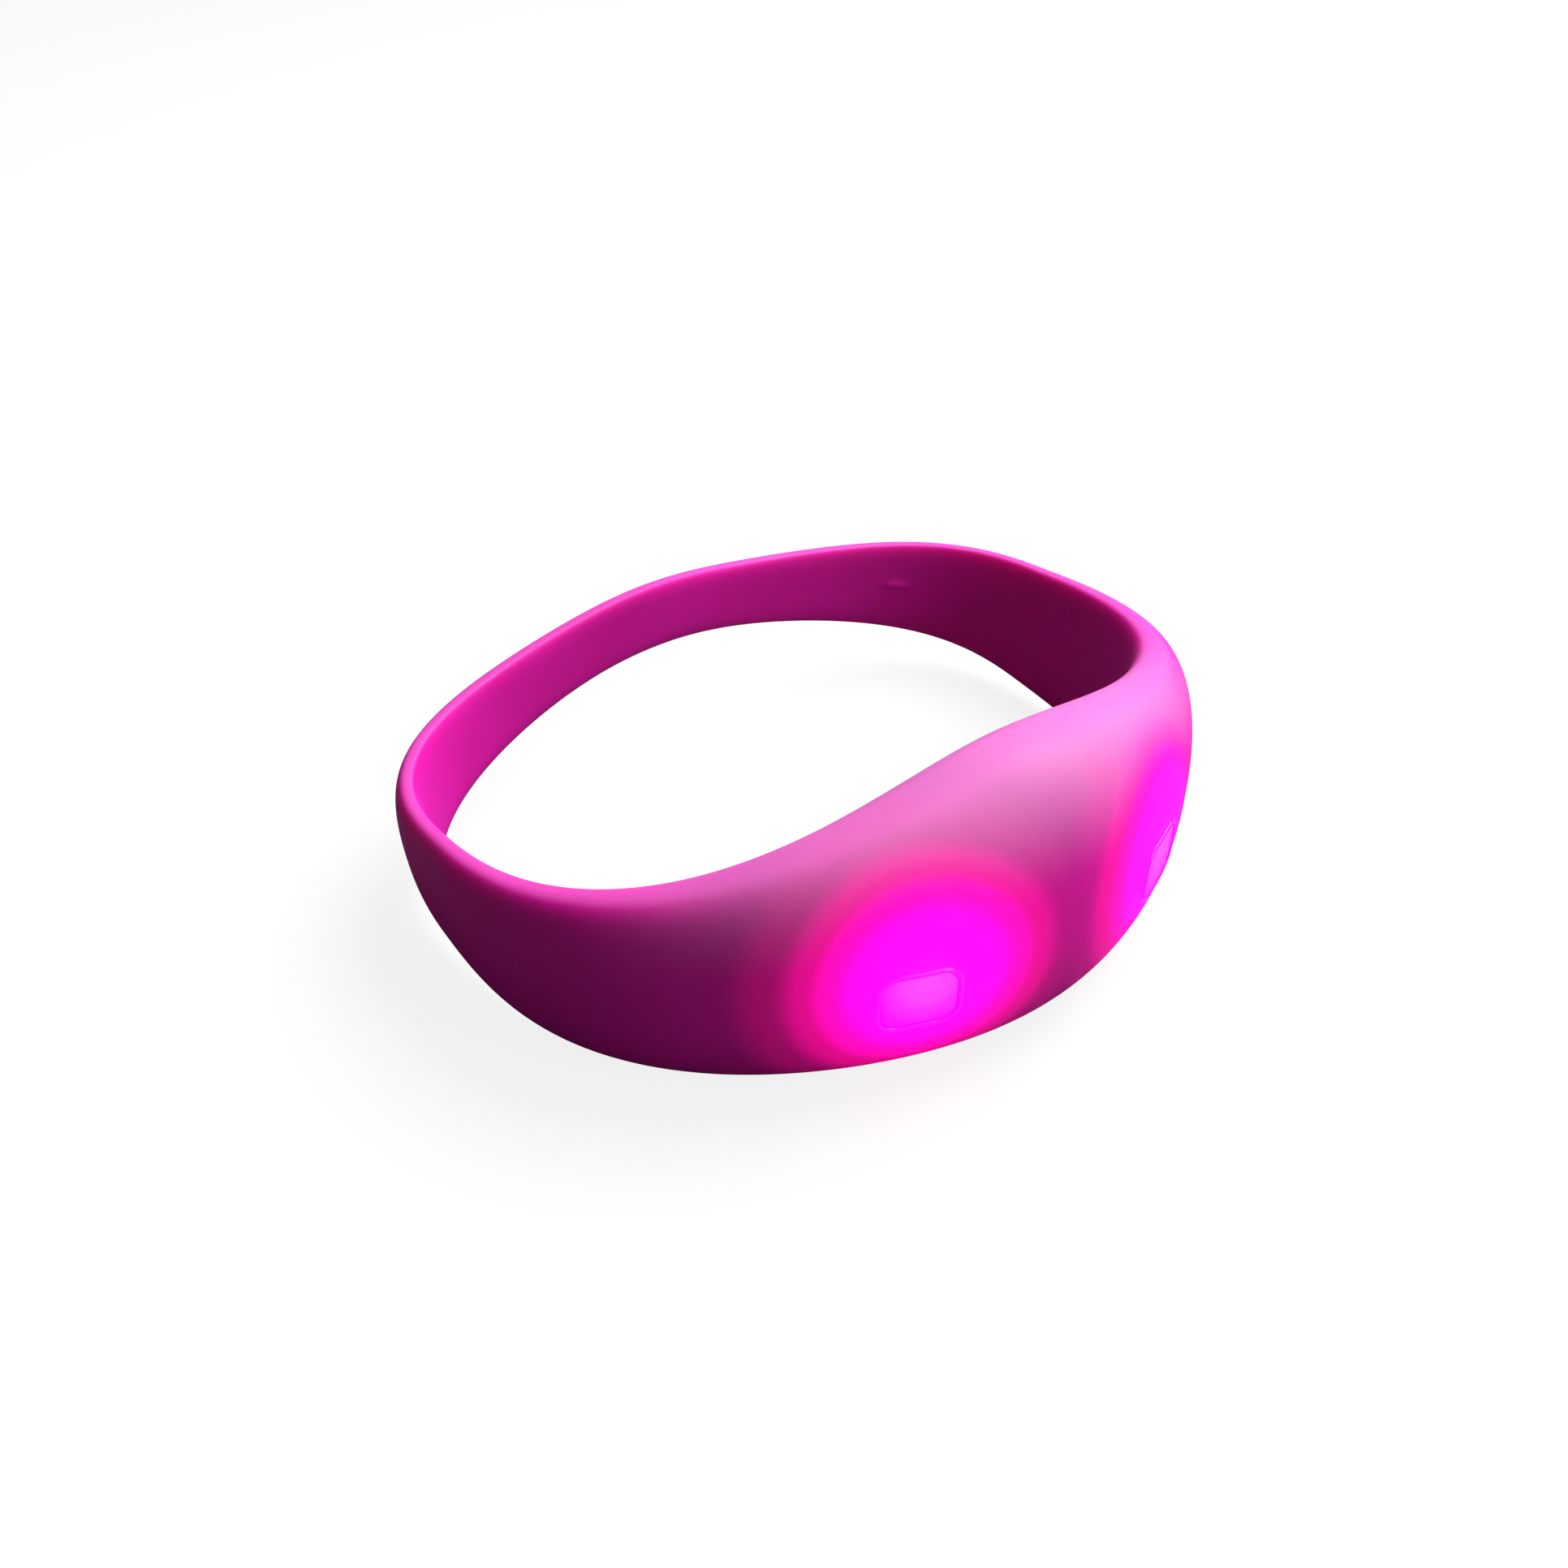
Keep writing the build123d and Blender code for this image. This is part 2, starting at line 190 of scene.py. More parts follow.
def band_tree():
    """The loop as a grid, bent round by the same rules as the moulded band."""
    inputs = [(label, "NodeSocketFloat", None) for label in BAND]
    tree = node_group("GeometryNodeTree", "Silicone Loop",
                      inputs + [("Material", "NodeSocketMaterial", None)],
                      [("Geometry", "NodeSocketGeometry")])
    given = add_node(tree, "NodeGroupInput").outputs
    size = {label: Number(tree, given[label]) for label in BAND}
    grid = add_node(tree, "GeometryNodeMeshGrid", {"Size X": 2 * math.pi, "Size Y": 2 * math.pi,
                                                   "Vertices X": BAND_AROUND + 1,
                                                   "Vertices Y": BAND_ACROSS + 1})
    position = add_node(tree, "GeometryNodeInputPosition").outputs[0]
    apart = add_node(tree, "ShaderNodeSeparateXYZ", links={0: position}).outputs
    angle = Number(tree, apart["X"])
    turn = Number(tree, apart["Y"])

    def loop_point(where):
        sine = where.by("SINE")
        cosine = where.by("COSINE")
        front = cosine.by("GREATER_THAN", 0.0)
        depth = size["Back Depth"] + (size["Front Depth"] - size["Back Depth"]) * front
        across = (sine.by("ABSOLUTE") / size["Half Width"]) ** size["Squareness"]
        along = (cosine.by("ABSOLUTE") / depth) ** size["Squareness"]
        radius = (across + along) ** (size["Squareness"] ** -1 * -1)
        return radius * sine, radius * cosine * -1

    x, y = loop_point(angle)
    step = 0.002
    ahead = loop_point(angle + step)
    behind = loop_point(angle - step)
    run_x = ahead[0] - behind[0]
    run_y = ahead[1] - behind[1]
    length = (run_x * run_x + run_y * run_y) ** 0.5
    out_x = run_y / length
    out_y = run_x / length * -1

    share = (angle.by("COSINE") + 1) / 2
    high = (size["Pod Height"] - size["Band Height"]) * share ** size["Height Taper"]
    high += size["Side Swell"] * angle.by("SINE") ** 4 + size["Band Height"]
    high /= 2
    thick = size["Band Thickness"]
    thick += (size["Pod Thickness"] - size["Band Thickness"]) * share ** size["Thickness Taper"]

    sine = turn.by("SINE")
    outer = turn.by("COSINE").by("GREATER_THAN", 0.0)
    inner = outer * -1 + 1
    outwards = turn.by("COSINE").by("ABSOLUTE")
    power = size["Wrist Side Power"] * inner + size["Outer Power"] * outer
    spread = (outwards ** power + sine.by("ABSOLUTE") ** power) ** (power ** -1 * -1)
    reach = outer - size["Wrist Side Part"]
    side = thick * (reach * outwards * spread + size["Wrist Side Part"])
    rise = high * sine * spread
    lean = size["Flare"] - size["Flare Swing"] * angle.by("COSINE")
    lean -= size["Flare Sides"] * (angle * 2).by("COSINE")
    side += lean.by("TANGENT") * rise

    # the moulder's gate mark is a low flat pip on the wrist side of the back
    along = ((angle - size["Mark Angle"]) / 2).by("SINE") / size["Mark Half Length"] * 2
    across = (rise / high - size["Mark Level"]) / size["Mark Half Height"]
    pip = (along ** 2 + across ** 2).by("SMOOTH_MIN", 1.0, 0.3) * -1 + 1
    side -= pip.by("MAXIMUM", 0.0) * inner * size["Mark Rise"]

    level = (angle * 2).by("COSINE") * size["Saddle"] + rise
    place = add_node(tree, "ShaderNodeCombineXYZ",
                     links={"X": x + out_x * side, "Y": y + out_y * side, "Z": level})
    # two marks for where the rubber gets its painted highlights and the pale of the capsule beneath:
    # height within the section, and nearness to the pod
    marked = grid.outputs[0]
    for label, value in (("level", rise / high), ("pod", share)):
        store = add_node(tree, "GeometryNodeStoreNamedAttribute", {"Name": label},
                         {"Geometry": marked, "Value": value}, data_type="FLOAT", domain="POINT")
        marked = store.outputs[0]
    bent = add_node(tree, "GeometryNodeSetPosition",
                    links={"Geometry": marked, "Position": place.outputs[0]})
    closed = add_node(tree, "GeometryNodeMergeByDistance", {"Distance": SEAM_GAP},
                      {"Geometry": bent.outputs[0]})
    end_tree(tree, closed.outputs[0], given["Material"])
    return tree


def turn_outwards(piece):
    """Points every face of a closed mesh outwards."""
    work = bmesh.new()
    work.from_mesh(piece.data)
    bmesh.ops.recalc_face_normals(work, faces=work.faces)
    work.to_mesh(piece.data)
    work.free()


def shift_mesh(piece, shift):
    piece.data.transform(Matrix.Translation(shift))
    piece.data.update()


def mesh_box(piece):
    """Low and high corners of a mesh."""
    corners = [vertex.co for vertex in piece.data.vertices]
    low = Vector([min(c[i] for c in corners) for i in range(3)])
    high = Vector([max(c[i] for c in corners) for i in range(3)])
    return low, high


# Light from the two diodes soaks into the rubber. It is magenta at the windows, turns hot pink
# as it spreads, and is used up before it gets far along the band.
GLOW_REACH = 18.0 * MM
GLOW_LIFT = 2.0 * MM
LIT_DEPTH = 0.6 * MM
BAND_GLOW = (
    (0.00, (1.0, 0.006, 1.0)),
    (0.24, (1.0, 0.000, 1.0)),
    (0.36, (1.0, 0.000, 0.86)),
    (0.50, (0.98, 0.000, 0.46)),
    (0.60, (0.60, 0.000, 0.18)),
    (0.76, (0.14, 0.000, 0.034)),
    (1.00, (0.0, 0.0, 0.0)),
)


def set_stops(ramp, stops):
    """Fills a colour ramp with (place, colour) stops."""
    elements = ramp.color_ramp.elements
    while len(elements) > 1:
        elements.remove(elements[-1])
    elements[0].position = stops[0][0]
    elements[0].color = (*stops[0][1], 1)
    for place, colour in stops[1:]:
        elements.new(place).color = (*colour, 1)


def window_centre(side):
    """Middle of a window's lit face; the diode behind it throws its light a little upwards."""
    low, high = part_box(side + "_light_lens")
    return Vector(((low.x + high.x) / 2, low.y + LIT_DEPTH, (low.z + high.z) / 2 + GLOW_LIFT))


def glow_group():
    """How far a point is from the nearer window, from 0 there to 1 where the glow ends."""
    group = node_group("ShaderNodeTree", "Glow Spread",
                       [("Left Window", "NodeSocketVector", window_centre("left")),
                        ("Right Window", "NodeSocketVector", window_centre("right")),
                        ("Reach", "NodeSocketFloat", GLOW_REACH)],
                       [("Spread", "NodeSocketFloat")])
    given = add_node(group, "NodeGroupInput").outputs
    place = add_node(group, "ShaderNodeTexCoord").outputs["Object"]
    away = []
    for side in ("Left Window", "Right Window"):
        node = add_node(group, "ShaderNodeVectorMath", links={0: place, 1: given[side]},
                        operation="DISTANCE")
        away.append(Number(group, node.outputs["Value"]))
    spread = away[0].by("MINIMUM", away[1]) / Number(group, given["Reach"])
    add_node(group, "NodeGroupOutput", links={"Spread": spread.by("MINIMUM", 1.0)})
    return group


# Every moulded piece carries the finish of its mould: a fine spark-eroded grain, with clouds
# where it was handled that change how it shines.
def grain_group():
    group = node_group("ShaderNodeTree", "Moulded Grain",
                       [("Grain Size", "NodeSocketFloat", 0.2 * MM),
                        ("Cloud Size", "NodeSocketFloat", 6 * MM),
                        ("Rough Low", "NodeSocketFloat", 0.4),
                        ("Rough High", "NodeSocketFloat", 0.5)],
                       [("Height", "NodeSocketFloat"), ("Roughness", "NodeSocketFloat"),
                        ("Clouds", "NodeSocketFloat")])
    given = add_node(group, "NodeGroupInput").outputs
    place = add_node(group, "ShaderNodeTexCoord").outputs["Object"]
    made = []
    for label, detail in (("Grain Size", 3.0), ("Cloud Size", 2.0)):
        scale = Number(group, given[label]) ** -1
        noise = add_node(group, "ShaderNodeTexNoise", {"Detail": detail},
                         {"Vector": place, "Scale": scale})
        made.append(noise.outputs["Fac"])
    rough = add_node(group, "ShaderNodeMapRange", {"From Min": 0.3, "From Max": 0.7},
                     {"Value": made[1], "To Min": given["Rough Low"],
                      "To Max": given["Rough High"]})
    add_node(group, "NodeGroupOutput",
             links={"Height": made[0], "Roughness": rough.outputs["Result"], "Clouds": made[1]})
    return group


glow = glow_group()
grain = grain_group()


def new_material(name, **plain):
    """Material with a Principled shader, and plain values for its sockets."""
    material = bpy.data.materials.new(name)
    material.use_nodes = True
    shader = material.node_tree.nodes["Principled BSDF"]
    for key, value in plain.items():
        label = key.replace("_", " ").title().replace("Ior", "IOR")
        shader.inputs[label].default_value = value
    return material


def add_finish(material, finish, values, share, colours, depth):
    """Puts a finish group on a material; one of its shares blends between two colours."""
    tree = material.node_tree
    shader = tree.nodes["Principled BSDF"]
    marks = add_node(tree, "ShaderNodeGroup", values, node_tree=finish)
    tint = add_node(tree, "ShaderNodeMix", data_type="RGBA", links={0: marks.outputs[share]})
    tint.inputs[6].default_value = (*colours[0], 1)
    tint.inputs[7].default_value = (*colours[1], 1)
    relief = add_node(tree, "ShaderNodeBump", {"Strength": 1.0, "Distance": depth},
                      {"Height": marks.outputs["Height"]})
    tree.links.new(tint.outputs[2], shader.inputs["Base Color"])
    tree.links.new(marks.outputs["Roughness"], shader.inputs["Roughness"])
    tree.links.new(relief.outputs["Normal"], shader.inputs["Normal"])
    return tint


def add_grain(material, dark, light, rough, grain_size, cloud_size, depth):
    """Puts the moulded grain on a material, whose colour drifts from dark to light."""
    values = {"Grain Size": grain_size, "Cloud Size": cloud_size,
              "Rough Low": rough[0], "Rough High": rough[1]}
    return add_finish(material, grain, values, "Clouds", (dark, light), depth)


def add_glow(material, stops):
    """Gives a material the light that the diodes leave in it, by (spread, colour) stops."""
    tree = material.node_tree
    spread = add_node(tree, "ShaderNodeGroup", node_tree=glow).outputs["Spread"]
    ramp = add_node(tree, "ShaderNodeValToRGB", links={"Fac": spread})
    ramp.color_ramp.interpolation = "EASE"
    set_stops(ramp, stops)
    tree.links.new(ramp.outputs["Color"], tree.nodes["Principled BSDF"].inputs["Emission Color"])
    return spread


def silicone():
    """Translucent rubber: the top of the pod is paler, partly the white capsule showing through and
    partly a painted highlight, and its thin rims carry a painted highlight.
    """
    material = new_material("translucent_silicone", subsurface_weight=0.7,
                            subsurface_radius=(1.0, 0.06, 0.3), subsurface_scale=3.0 * MM,
                            specular_ior_level=0.22, emission_strength=1.0)
    tree = material.node_tree
    tint = add_grain(material, (0.54, 0.002, 0.27), (0.62, 0.003, 0.33), (0.54, 0.64),
                     0.22 * MM, 7 * MM, 0.005 * MM)
    colour = tint.outputs[2]
    level = add_node(tree, "ShaderNodeAttribute", attribute_name="level").outputs["Fac"]
    pod = add_node(tree, "ShaderNodeAttribute", attribute_name="pod").outputs["Fac"]
    spread = add_glow(material, BAND_GLOW)

    def share_between(value, start, end):
        node = add_node(tree, "ShaderNodeMapRange", {"From Min": start, "From Max": end},
                        {"Value": value}, interpolation_type="SMOOTHSTEP")
        return Number(tree, node.outputs["Result"])

    # blends the colour towards another; used for the painted highlights and the colour under the glow
    def blend_towards(base, share, blend_colour):
        node = add_node(tree, "ShaderNodeMix", data_type="RGBA", links={0: share, 6: base})
        node.inputs[7].default_value = (*blend_colour, 1)
        return node.outputs[2]

    # the top of the pod is paler: partly the white capsule showing through, partly a painted
    # highlight
    capsule_and_top_highlight = share_between(level, 0.3, 1.0) * share_between(pod, 0.72, 0.97)
    # a painted highlight along the thin top and bottom rims of the section
    rim_highlight = share_between(Number(tree, level).by("ABSOLUTE"), 0.955, 1.0)
    lit = share_between(spread, 0.75, 0.45)
    colour = blend_towards(colour, capsule_and_top_highlight, (0.50, 0.12, 0.35))
    colour = blend_towards(colour, rim_highlight * 0.4, (0.62, 0.12, 0.46))
    colour = blend_towards(colour, lit, (0.34, 0.0, 0.20))
    tree.links.new(colour, tree.nodes["Principled BSDF"].inputs["Base Color"])
    return material


silicone_pink = silicone()
band_blank = made_by_nodes("band_blank", band_tree(), {**BAND, "Material": silicone_pink})
turn_outwards(band_blank)
cad_low, cad_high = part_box("silicone_band")
own_low, own_high = mesh_box(band_blank)
loop_centre = Vector(((cad_low.x + cad_high.x) / 2 - (own_low.x + own_high.x) / 2,
                      cad_low.y - own_low.y, cad_low.z - own_low.z))
shift_mesh(band_blank, loop_centre)


# The pocket and the windows are cut through the moulded loop. Their places and sizes are those
# of the capsule and its lenses, with the small clearance that lets the capsule slide in.
POCKET_GAP = 0.06 * MM
WINDOW_WIDTH = 6.4 * MM
WINDOW_HEIGHT = 5.4 * MM
WINDOW_CORNER = 1.45 * MM
CAPSULE_CORNER = 6.0 * MM
CAPSULE_BULGE = 36.0 * MM
CAPSULE_EDGE = 3.4 * MM
CAPSULE_EDGE_STEPS = 8
LEAST_CORNER = 0.3 * MM
POCKET_CORNER_STEPS = 12
WINDOW_CORNER_STEPS = 8
CUT_PAST_FRONT = 5 * MM
SHARP_ANGLE = math.radians(40)


def rounded_outline(width, height, corner, steps):
    """Points round a rectangle with rounded corners, from its middle, as (x, z)."""
    points = []
    for quarter in range(4):
        start = quarter * math.pi / 2
        centre_x = (width / 2 - corner) * (1 if quarter in (0, 3) else -1)
        centre_z = (height / 2 - corner) * (1 if quarter in (0, 1) else -1)
        for i in range(steps + 1):
            bend = start + math.pi / 2 * i / steps
            points.append((centre_x + corner * math.cos(bend), centre_z + corner * math.sin(bend)))
    return points


def loops_object(name, loops):
    """Closed solid through loops of points that all have the same number of points."""
    work = bmesh.new()
    rings = [[work.verts.new(point) for point in loop] for loop in loops]
    count = len(rings[0])
    for one, two in zip(rings, rings[1:]):
        for i in range(count):
            work.faces.new((one[i], one[(i + 1) % count], two[(i + 1) % count], two[i]))
    work.faces.new(rings[0])
    work.faces.new(rings[-1])
    bmesh.ops.recalc_face_normals(work, faces=work.faces)
    mesh = bpy.data.meshes.new(name)
    work.to_mesh(mesh)
    work.free()
    piece = bpy.data.objects.new(name, mesh)
    bpy.context.collection.objects.link(piece)
    return piece


def capsule_loops(gap):
    """The capsule's outside as loops, from its flat back to the middle of its curved front."""
    steps = CAPSULE_EDGE_STEPS
    low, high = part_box("rear_cover")
    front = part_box("capsule_shell")[0].y - gap
    middle = (low + high) / 2
    width = high.x - low.x + 2 * gap
    height = high.z - low.z + 2 * gap

    def loop(inset, lift, shrink=1.0):
        outline = rounded_outline(width - 2 * inset, height - 2 * inset,
                                  max(CAPSULE_CORNER + gap - inset, LEAST_CORNER),
                                  POCKET_CORNER_STEPS)
        bulge = CAPSULE_BULGE + gap
        points = []
        for x, z in outline:
            x *= shrink
            z *= shrink
            y = front + bulge - math.sqrt(bulge ** 2 - x ** 2) + lift
            points.append(Vector((middle.x + x, y, middle.z + z)))
        return points

    back = [Vector((p.x, high.y, p.z)) for p in loop(0, 0)]
    rings = [back]
    for i in range(steps + 1):
        bend = math.pi / 2 * i / steps
        rings.append(loop(CAPSULE_EDGE * (1 - math.cos(bend)), CAPSULE_EDGE * (1 - math.sin(bend))))
    for i in range(1, steps):
        rings.append(loop(CAPSULE_EDGE, 0, 1 - i / steps))
    return rings


def pocket_cutter():
    rings = capsule_loops(POCKET_GAP)
    mouth = [Vector((p.x, loop_centre.y, p.z)) for p in rings[0]]
    return loops_object("pocket_cutter", [mouth] + rings)


def window_cutter(side):
    low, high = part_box(side + "_light_diode")
    middle = (low + high) / 2
    outline = rounded_outline(WINDOW_WIDTH, WINDOW_HEIGHT, WINDOW_CORNER, WINDOW_CORNER_STEPS)
    near = high.y
    far = cad_bounds[0].y - CUT_PAST_FRONT
    loops = [[Vector((middle.x + x, y, middle.z + z)) for x, z in outline] for y in (near, far)]
    return loops_object(side + "_window_cutter", loops)


def carry_marks(result, blank):
    """Gives each corner made by a cut the marks of the nearest corner of the uncut skin."""
    corners = KDTree(len(blank.data.vertices))
    for vertex in blank.data.vertices:
        corners.insert(vertex.co, vertex.index)
    corners.balance()
    nearest = [corners.find(vertex.co)[1] for vertex in result.data.vertices]
    for label in ("level", "pod"):
        marks = blank.data.attributes[label].data
        result.data.attributes[label].data.foreach_set("value", [marks[i].value for i in nearest])


def cut_away(piece, cutters, name):
    """The piece with the cutters taken out of it, as a plain mesh."""
    for cutter in cutters:
        modifier = piece.modifiers.new(cutter.name, "BOOLEAN")
        modifier.operation = "DIFFERENCE"
        modifier.solver = "EXACT"
        modifier.object = cutter
    result = plain_mesh(name, piece)
    carry_marks(result, piece)
    for spent in [piece, *cutters]:
        bpy.data.objects.remove(spent)
    result.data.set_sharp_from_angle(angle=SHARP_ANGLE)
    return result


band = cut_away(band_blank, [pocket_cutter(), window_cutter("left"), window_cutter("right")], "band")
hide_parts("silicone_band")
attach(band, "band")


# ---- Window lips ----
# The silicone is moulded with a thin raised lip round each window, polished where the rest of the
# pod is matt. It grips the lens, and it catches the light as a bright line.
LIP_RADIUS = 0.26 * MM
LIP_SUNK = 0.10 * MM
LIP_POINTS = 160
LIP_SIDES = 14
LIP_CORNER_STEPS = 12
LIP_START = 10 * MM


def lip_tree():
    """A round bead that follows a rounded rectangle laid on the front of the band."""
    tree = node_group("GeometryNodeTree", "Window Lip",
                      [("Band", "NodeSocketObject", None), ("Middle", "NodeSocketVector", None),
                       ("Width", "NodeSocketFloat", None), ("Height", "NodeSocketFloat", None),
                       ("Corner", "NodeSocketFloat", None), ("Radius", "NodeSocketFloat", None),
                       ("Sunk", "NodeSocketFloat", None), ("Material", "NodeSocketMaterial", None)],
                      [("Geometry", "NodeSocketGeometry")])
    given = add_node(tree, "NodeGroupInput").outputs
    frame_line = add_node(tree, "GeometryNodeCurvePrimitiveQuadrilateral",
                          links={"Width": given["Width"], "Height": given["Height"]})
    rounded = add_node(tree, "GeometryNodeFilletCurve", {"Count": LIP_CORNER_STEPS},
                       {"Curve": frame_line.outputs[0], "Radius": given["Corner"]}, mode="POLY")
    even = add_node(tree, "GeometryNodeResampleCurve", {"Count": LIP_POINTS},
                    {0: rounded.outputs[0]})
    stood = add_node(tree, "GeometryNodeTransform", {"Rotation": (math.pi / 2, 0, 0)},
                     {"Geometry": even.outputs[0], "Translation": given["Middle"]})
    skin = add_node(tree, "GeometryNodeObjectInfo", links={"Object": given["Band"]})
    reach = add_node(tree, "GeometryNodeRaycast",
                     {"Ray Direction": (0, 1, 0), "Ray Length": 100 * MM},
                     {"Target Geometry": skin.outputs["Geometry"]})
    inwards = add_node(tree, "ShaderNodeVectorMath", operation="SCALE",
                       links={0: reach.outputs["Hit Normal"],
                              "Scale": Number(tree, given["Sunk"]) * -1})
    laid = add_node(tree, "GeometryNodeSetPosition",
                    links={"Geometry": stood.outputs[0], "Position": reach.outputs["Hit Position"],
                           "Offset": inwards.outputs[0]})
    ring = add_node(tree, "GeometryNodeCurvePrimitiveCircle", {"Resolution": LIP_SIDES},
                    {"Radius": given["Radius"]})
    bead = add_node(tree, "GeometryNodeCurveToMesh",
                    links={"Curve": laid.outputs[0], "Profile Curve": ring.outputs[0]})
    end_tree(tree, bead.outputs[0], given["Material"])
    return tree


polished = new_material("polished_silicone", subsurface_weight=0.3,
                        subsurface_radius=(1.0, 0.06, 0.3), subsurface_scale=1.0 * MM,
                        specular_ior_level=0.5, emission_strength=1.0)
add_grain(polished, (0.44, 0.003, 0.24), (0.52, 0.004, 0.29), (0.16, 0.24), 0.5 * MM, 3 * MM,
          0.002 * MM)
add_glow(polished, BAND_GLOW)
one_lip = lip_tree()
for side in ("left", "right"):
    low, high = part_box(side + "_light_diode")
    middle = ((low.x + high.x) / 2, cad_bounds[0].y - LIP_START, (low.z + high.z) / 2)
    lip = made_by_nodes(side + "_window_lip", one_lip,
                        {"Band": band, "Middle": middle, "Width": WINDOW_WIDTH + 2 * LIP_RADIUS,
                         "Height": WINDOW_HEIGHT + 2 * LIP_RADIUS,
                         "Corner": WINDOW_CORNER + LIP_RADIUS, "Radius": LIP_RADIUS,
                         "Sunk": LIP_SUNK, "Material": polished})
    turn_outwards(lip)
    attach(lip, "band")


# ---- Light lenses ----
# Two clear acrylic light guides, one over each diode. Their faces are flush with the pod and
# their flanges are trapped behind the front shell. Lit, they are the brightest part.
LENS_GLOW = (
    (0.00, (1.0, 0.080, 1.0)),
    (0.10, (1.0, 0.060, 1.0)),
    (0.20, (1.0, 0.022, 1.0)),
    (0.26, (1.0, 0.004, 1.0)),
)


def dress(material, *names):
    """Gives carried-over pieces their material."""
    for name in names:
        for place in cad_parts[name].material_slots:
            place.material = material


lens = new_material("lens_acrylic", emission_strength=1.0, specular_ior_level=0.3)
add_grain(lens, (0.10, 0.0, 0.08), (0.14, 0.0, 0.12), (0.22, 0.32), 0.3 * MM, 4 * MM, 0.002 * MM)
add_glow(lens, LENS_GLOW)
dress(lens, "left_light_lens", "right_light_lens")


# ---- Capsule shell, rear cover and plunger ----
# The front shell and the rear cover are moulded in white ABS with a fine sandblasted face. The
# plunger under the soft skin is a harder white acetal, worn smooth where it slides.
shell_plastic = new_material("shell_plastic", subsurface_weight=0.15, subsurface_scale=0.8 * MM,
                             specular_ior_level=0.45)
add_grain(shell_plastic, (0.74, 0.735, 0.71), (0.83, 0.825, 0.805), (0.38, 0.52), 0.14 * MM,
          5 * MM, 0.006 * MM)
dress(shell_plastic, "capsule_shell", "rear_cover")
plunger_plastic = new_material("plunger_plastic", subsurface_weight=0.2, subsurface_scale=1 * MM)
add_grain(plunger_plastic, (0.80, 0.80, 0.79), (0.87, 0.87, 0.86), (0.26, 0.38), 0.3 * MM,
          3 * MM, 0.002 * MM)
dress(plunger_plastic, "button_plunger")


# ---- Sealing ring, cell seals and other dark mouldings ----
# The ring between shell and cover is cut from black nitrile sheet. The seals of the cells, the
# switch and the cell holder are black nylon and glass-filled plastic, straight from the mould.
MOULD_CLOUDS = 2.5 * MM
MOULD_DEPTH = 0.006 * MM
DARK_MOULDINGS = (
    ("gasket_rubber", (0.012, 0.012, 0.013), (0.024, 0.024, 0.025), (0.62, 0.80), 0.10,
     ("cover_gasket",)),
    ("seal_nylon", (0.030, 0.030, 0.034), (0.050, 0.050, 0.056), (0.40, 0.52), 0.20,
     ("left_cell_seal", "right_cell_seal")),
    ("holder_plastic", (0.016, 0.016, 0.018), (0.030, 0.030, 0.033), (0.42, 0.60), 0.16,
     ("cell_holder",)),
    ("switch_plastic", (0.018, 0.018, 0.020), (0.034, 0.034, 0.037), (0.38, 0.54), 0.12,
     ("switch_housing",)),
    ("stem_plastic", (0.030, 0.029, 0.028), (0.052, 0.050, 0.048), (0.28, 0.40), 0.20,
     ("switch_stem",)),
    ("chip_epoxy", (0.014, 0.014, 0.015), (0.026, 0.026, 0.028), (0.50, 0.66), 0.08,
     ("controller_chip",)),
)
for name, dark, light, rough, grain_mm, nodes in DARK_MOULDINGS:
    moulding = new_material(name)
    add_grain(moulding, dark, light, rough, grain_mm * MM, MOULD_CLOUDS, MOULD_DEPTH)
    dress(moulding, *nodes)


# ---- Ceramic parts ----
# The diodes are white ceramic cups, lit from inside. The resistors are alumina chips and the
# supply capacitor is a tan ceramic block, all fired and slightly speckled.
SPECK_SIZE = 0.12 * MM
SPECK_CLOUDS = 0.8 * MM
SPECK_DEPTH = 0.004 * MM
CERAMICS = (
    ("resistor_ceramic", (0.020, 0.022, 0.030), (0.045, 0.048, 0.060), (0.30, 0.45),
     ("light_resistors",)),
    ("capacitor_ceramic", (0.36, 0.25, 0.15), (0.48, 0.35, 0.22), (0.34, 0.48),
     ("supply_capacitor",)),
    ("diode_ceramic", (0.78, 0.72, 0.62), (0.86, 0.82, 0.74), (0.35, 0.50),
     ("left_light_diode", "right_light_diode")),
)
for name, dark, light, rough, nodes in CERAMICS:
    ceramic = new_material(name)
    add_grain(ceramic, dark, light, rough, SPECK_SIZE, SPECK_CLOUDS, SPECK_DEPTH)
    dress(ceramic, *nodes)
# the last of them is the diodes' own, and it shines
add_glow(ceramic, ((0.0, (1.0, 0.05, 1.0)), (0.5, (1.0, 0.0, 1.0))))
ceramic.node_tree.nodes["Principled BSDF"].inputs["Emission Strength"].default_value = 1.5


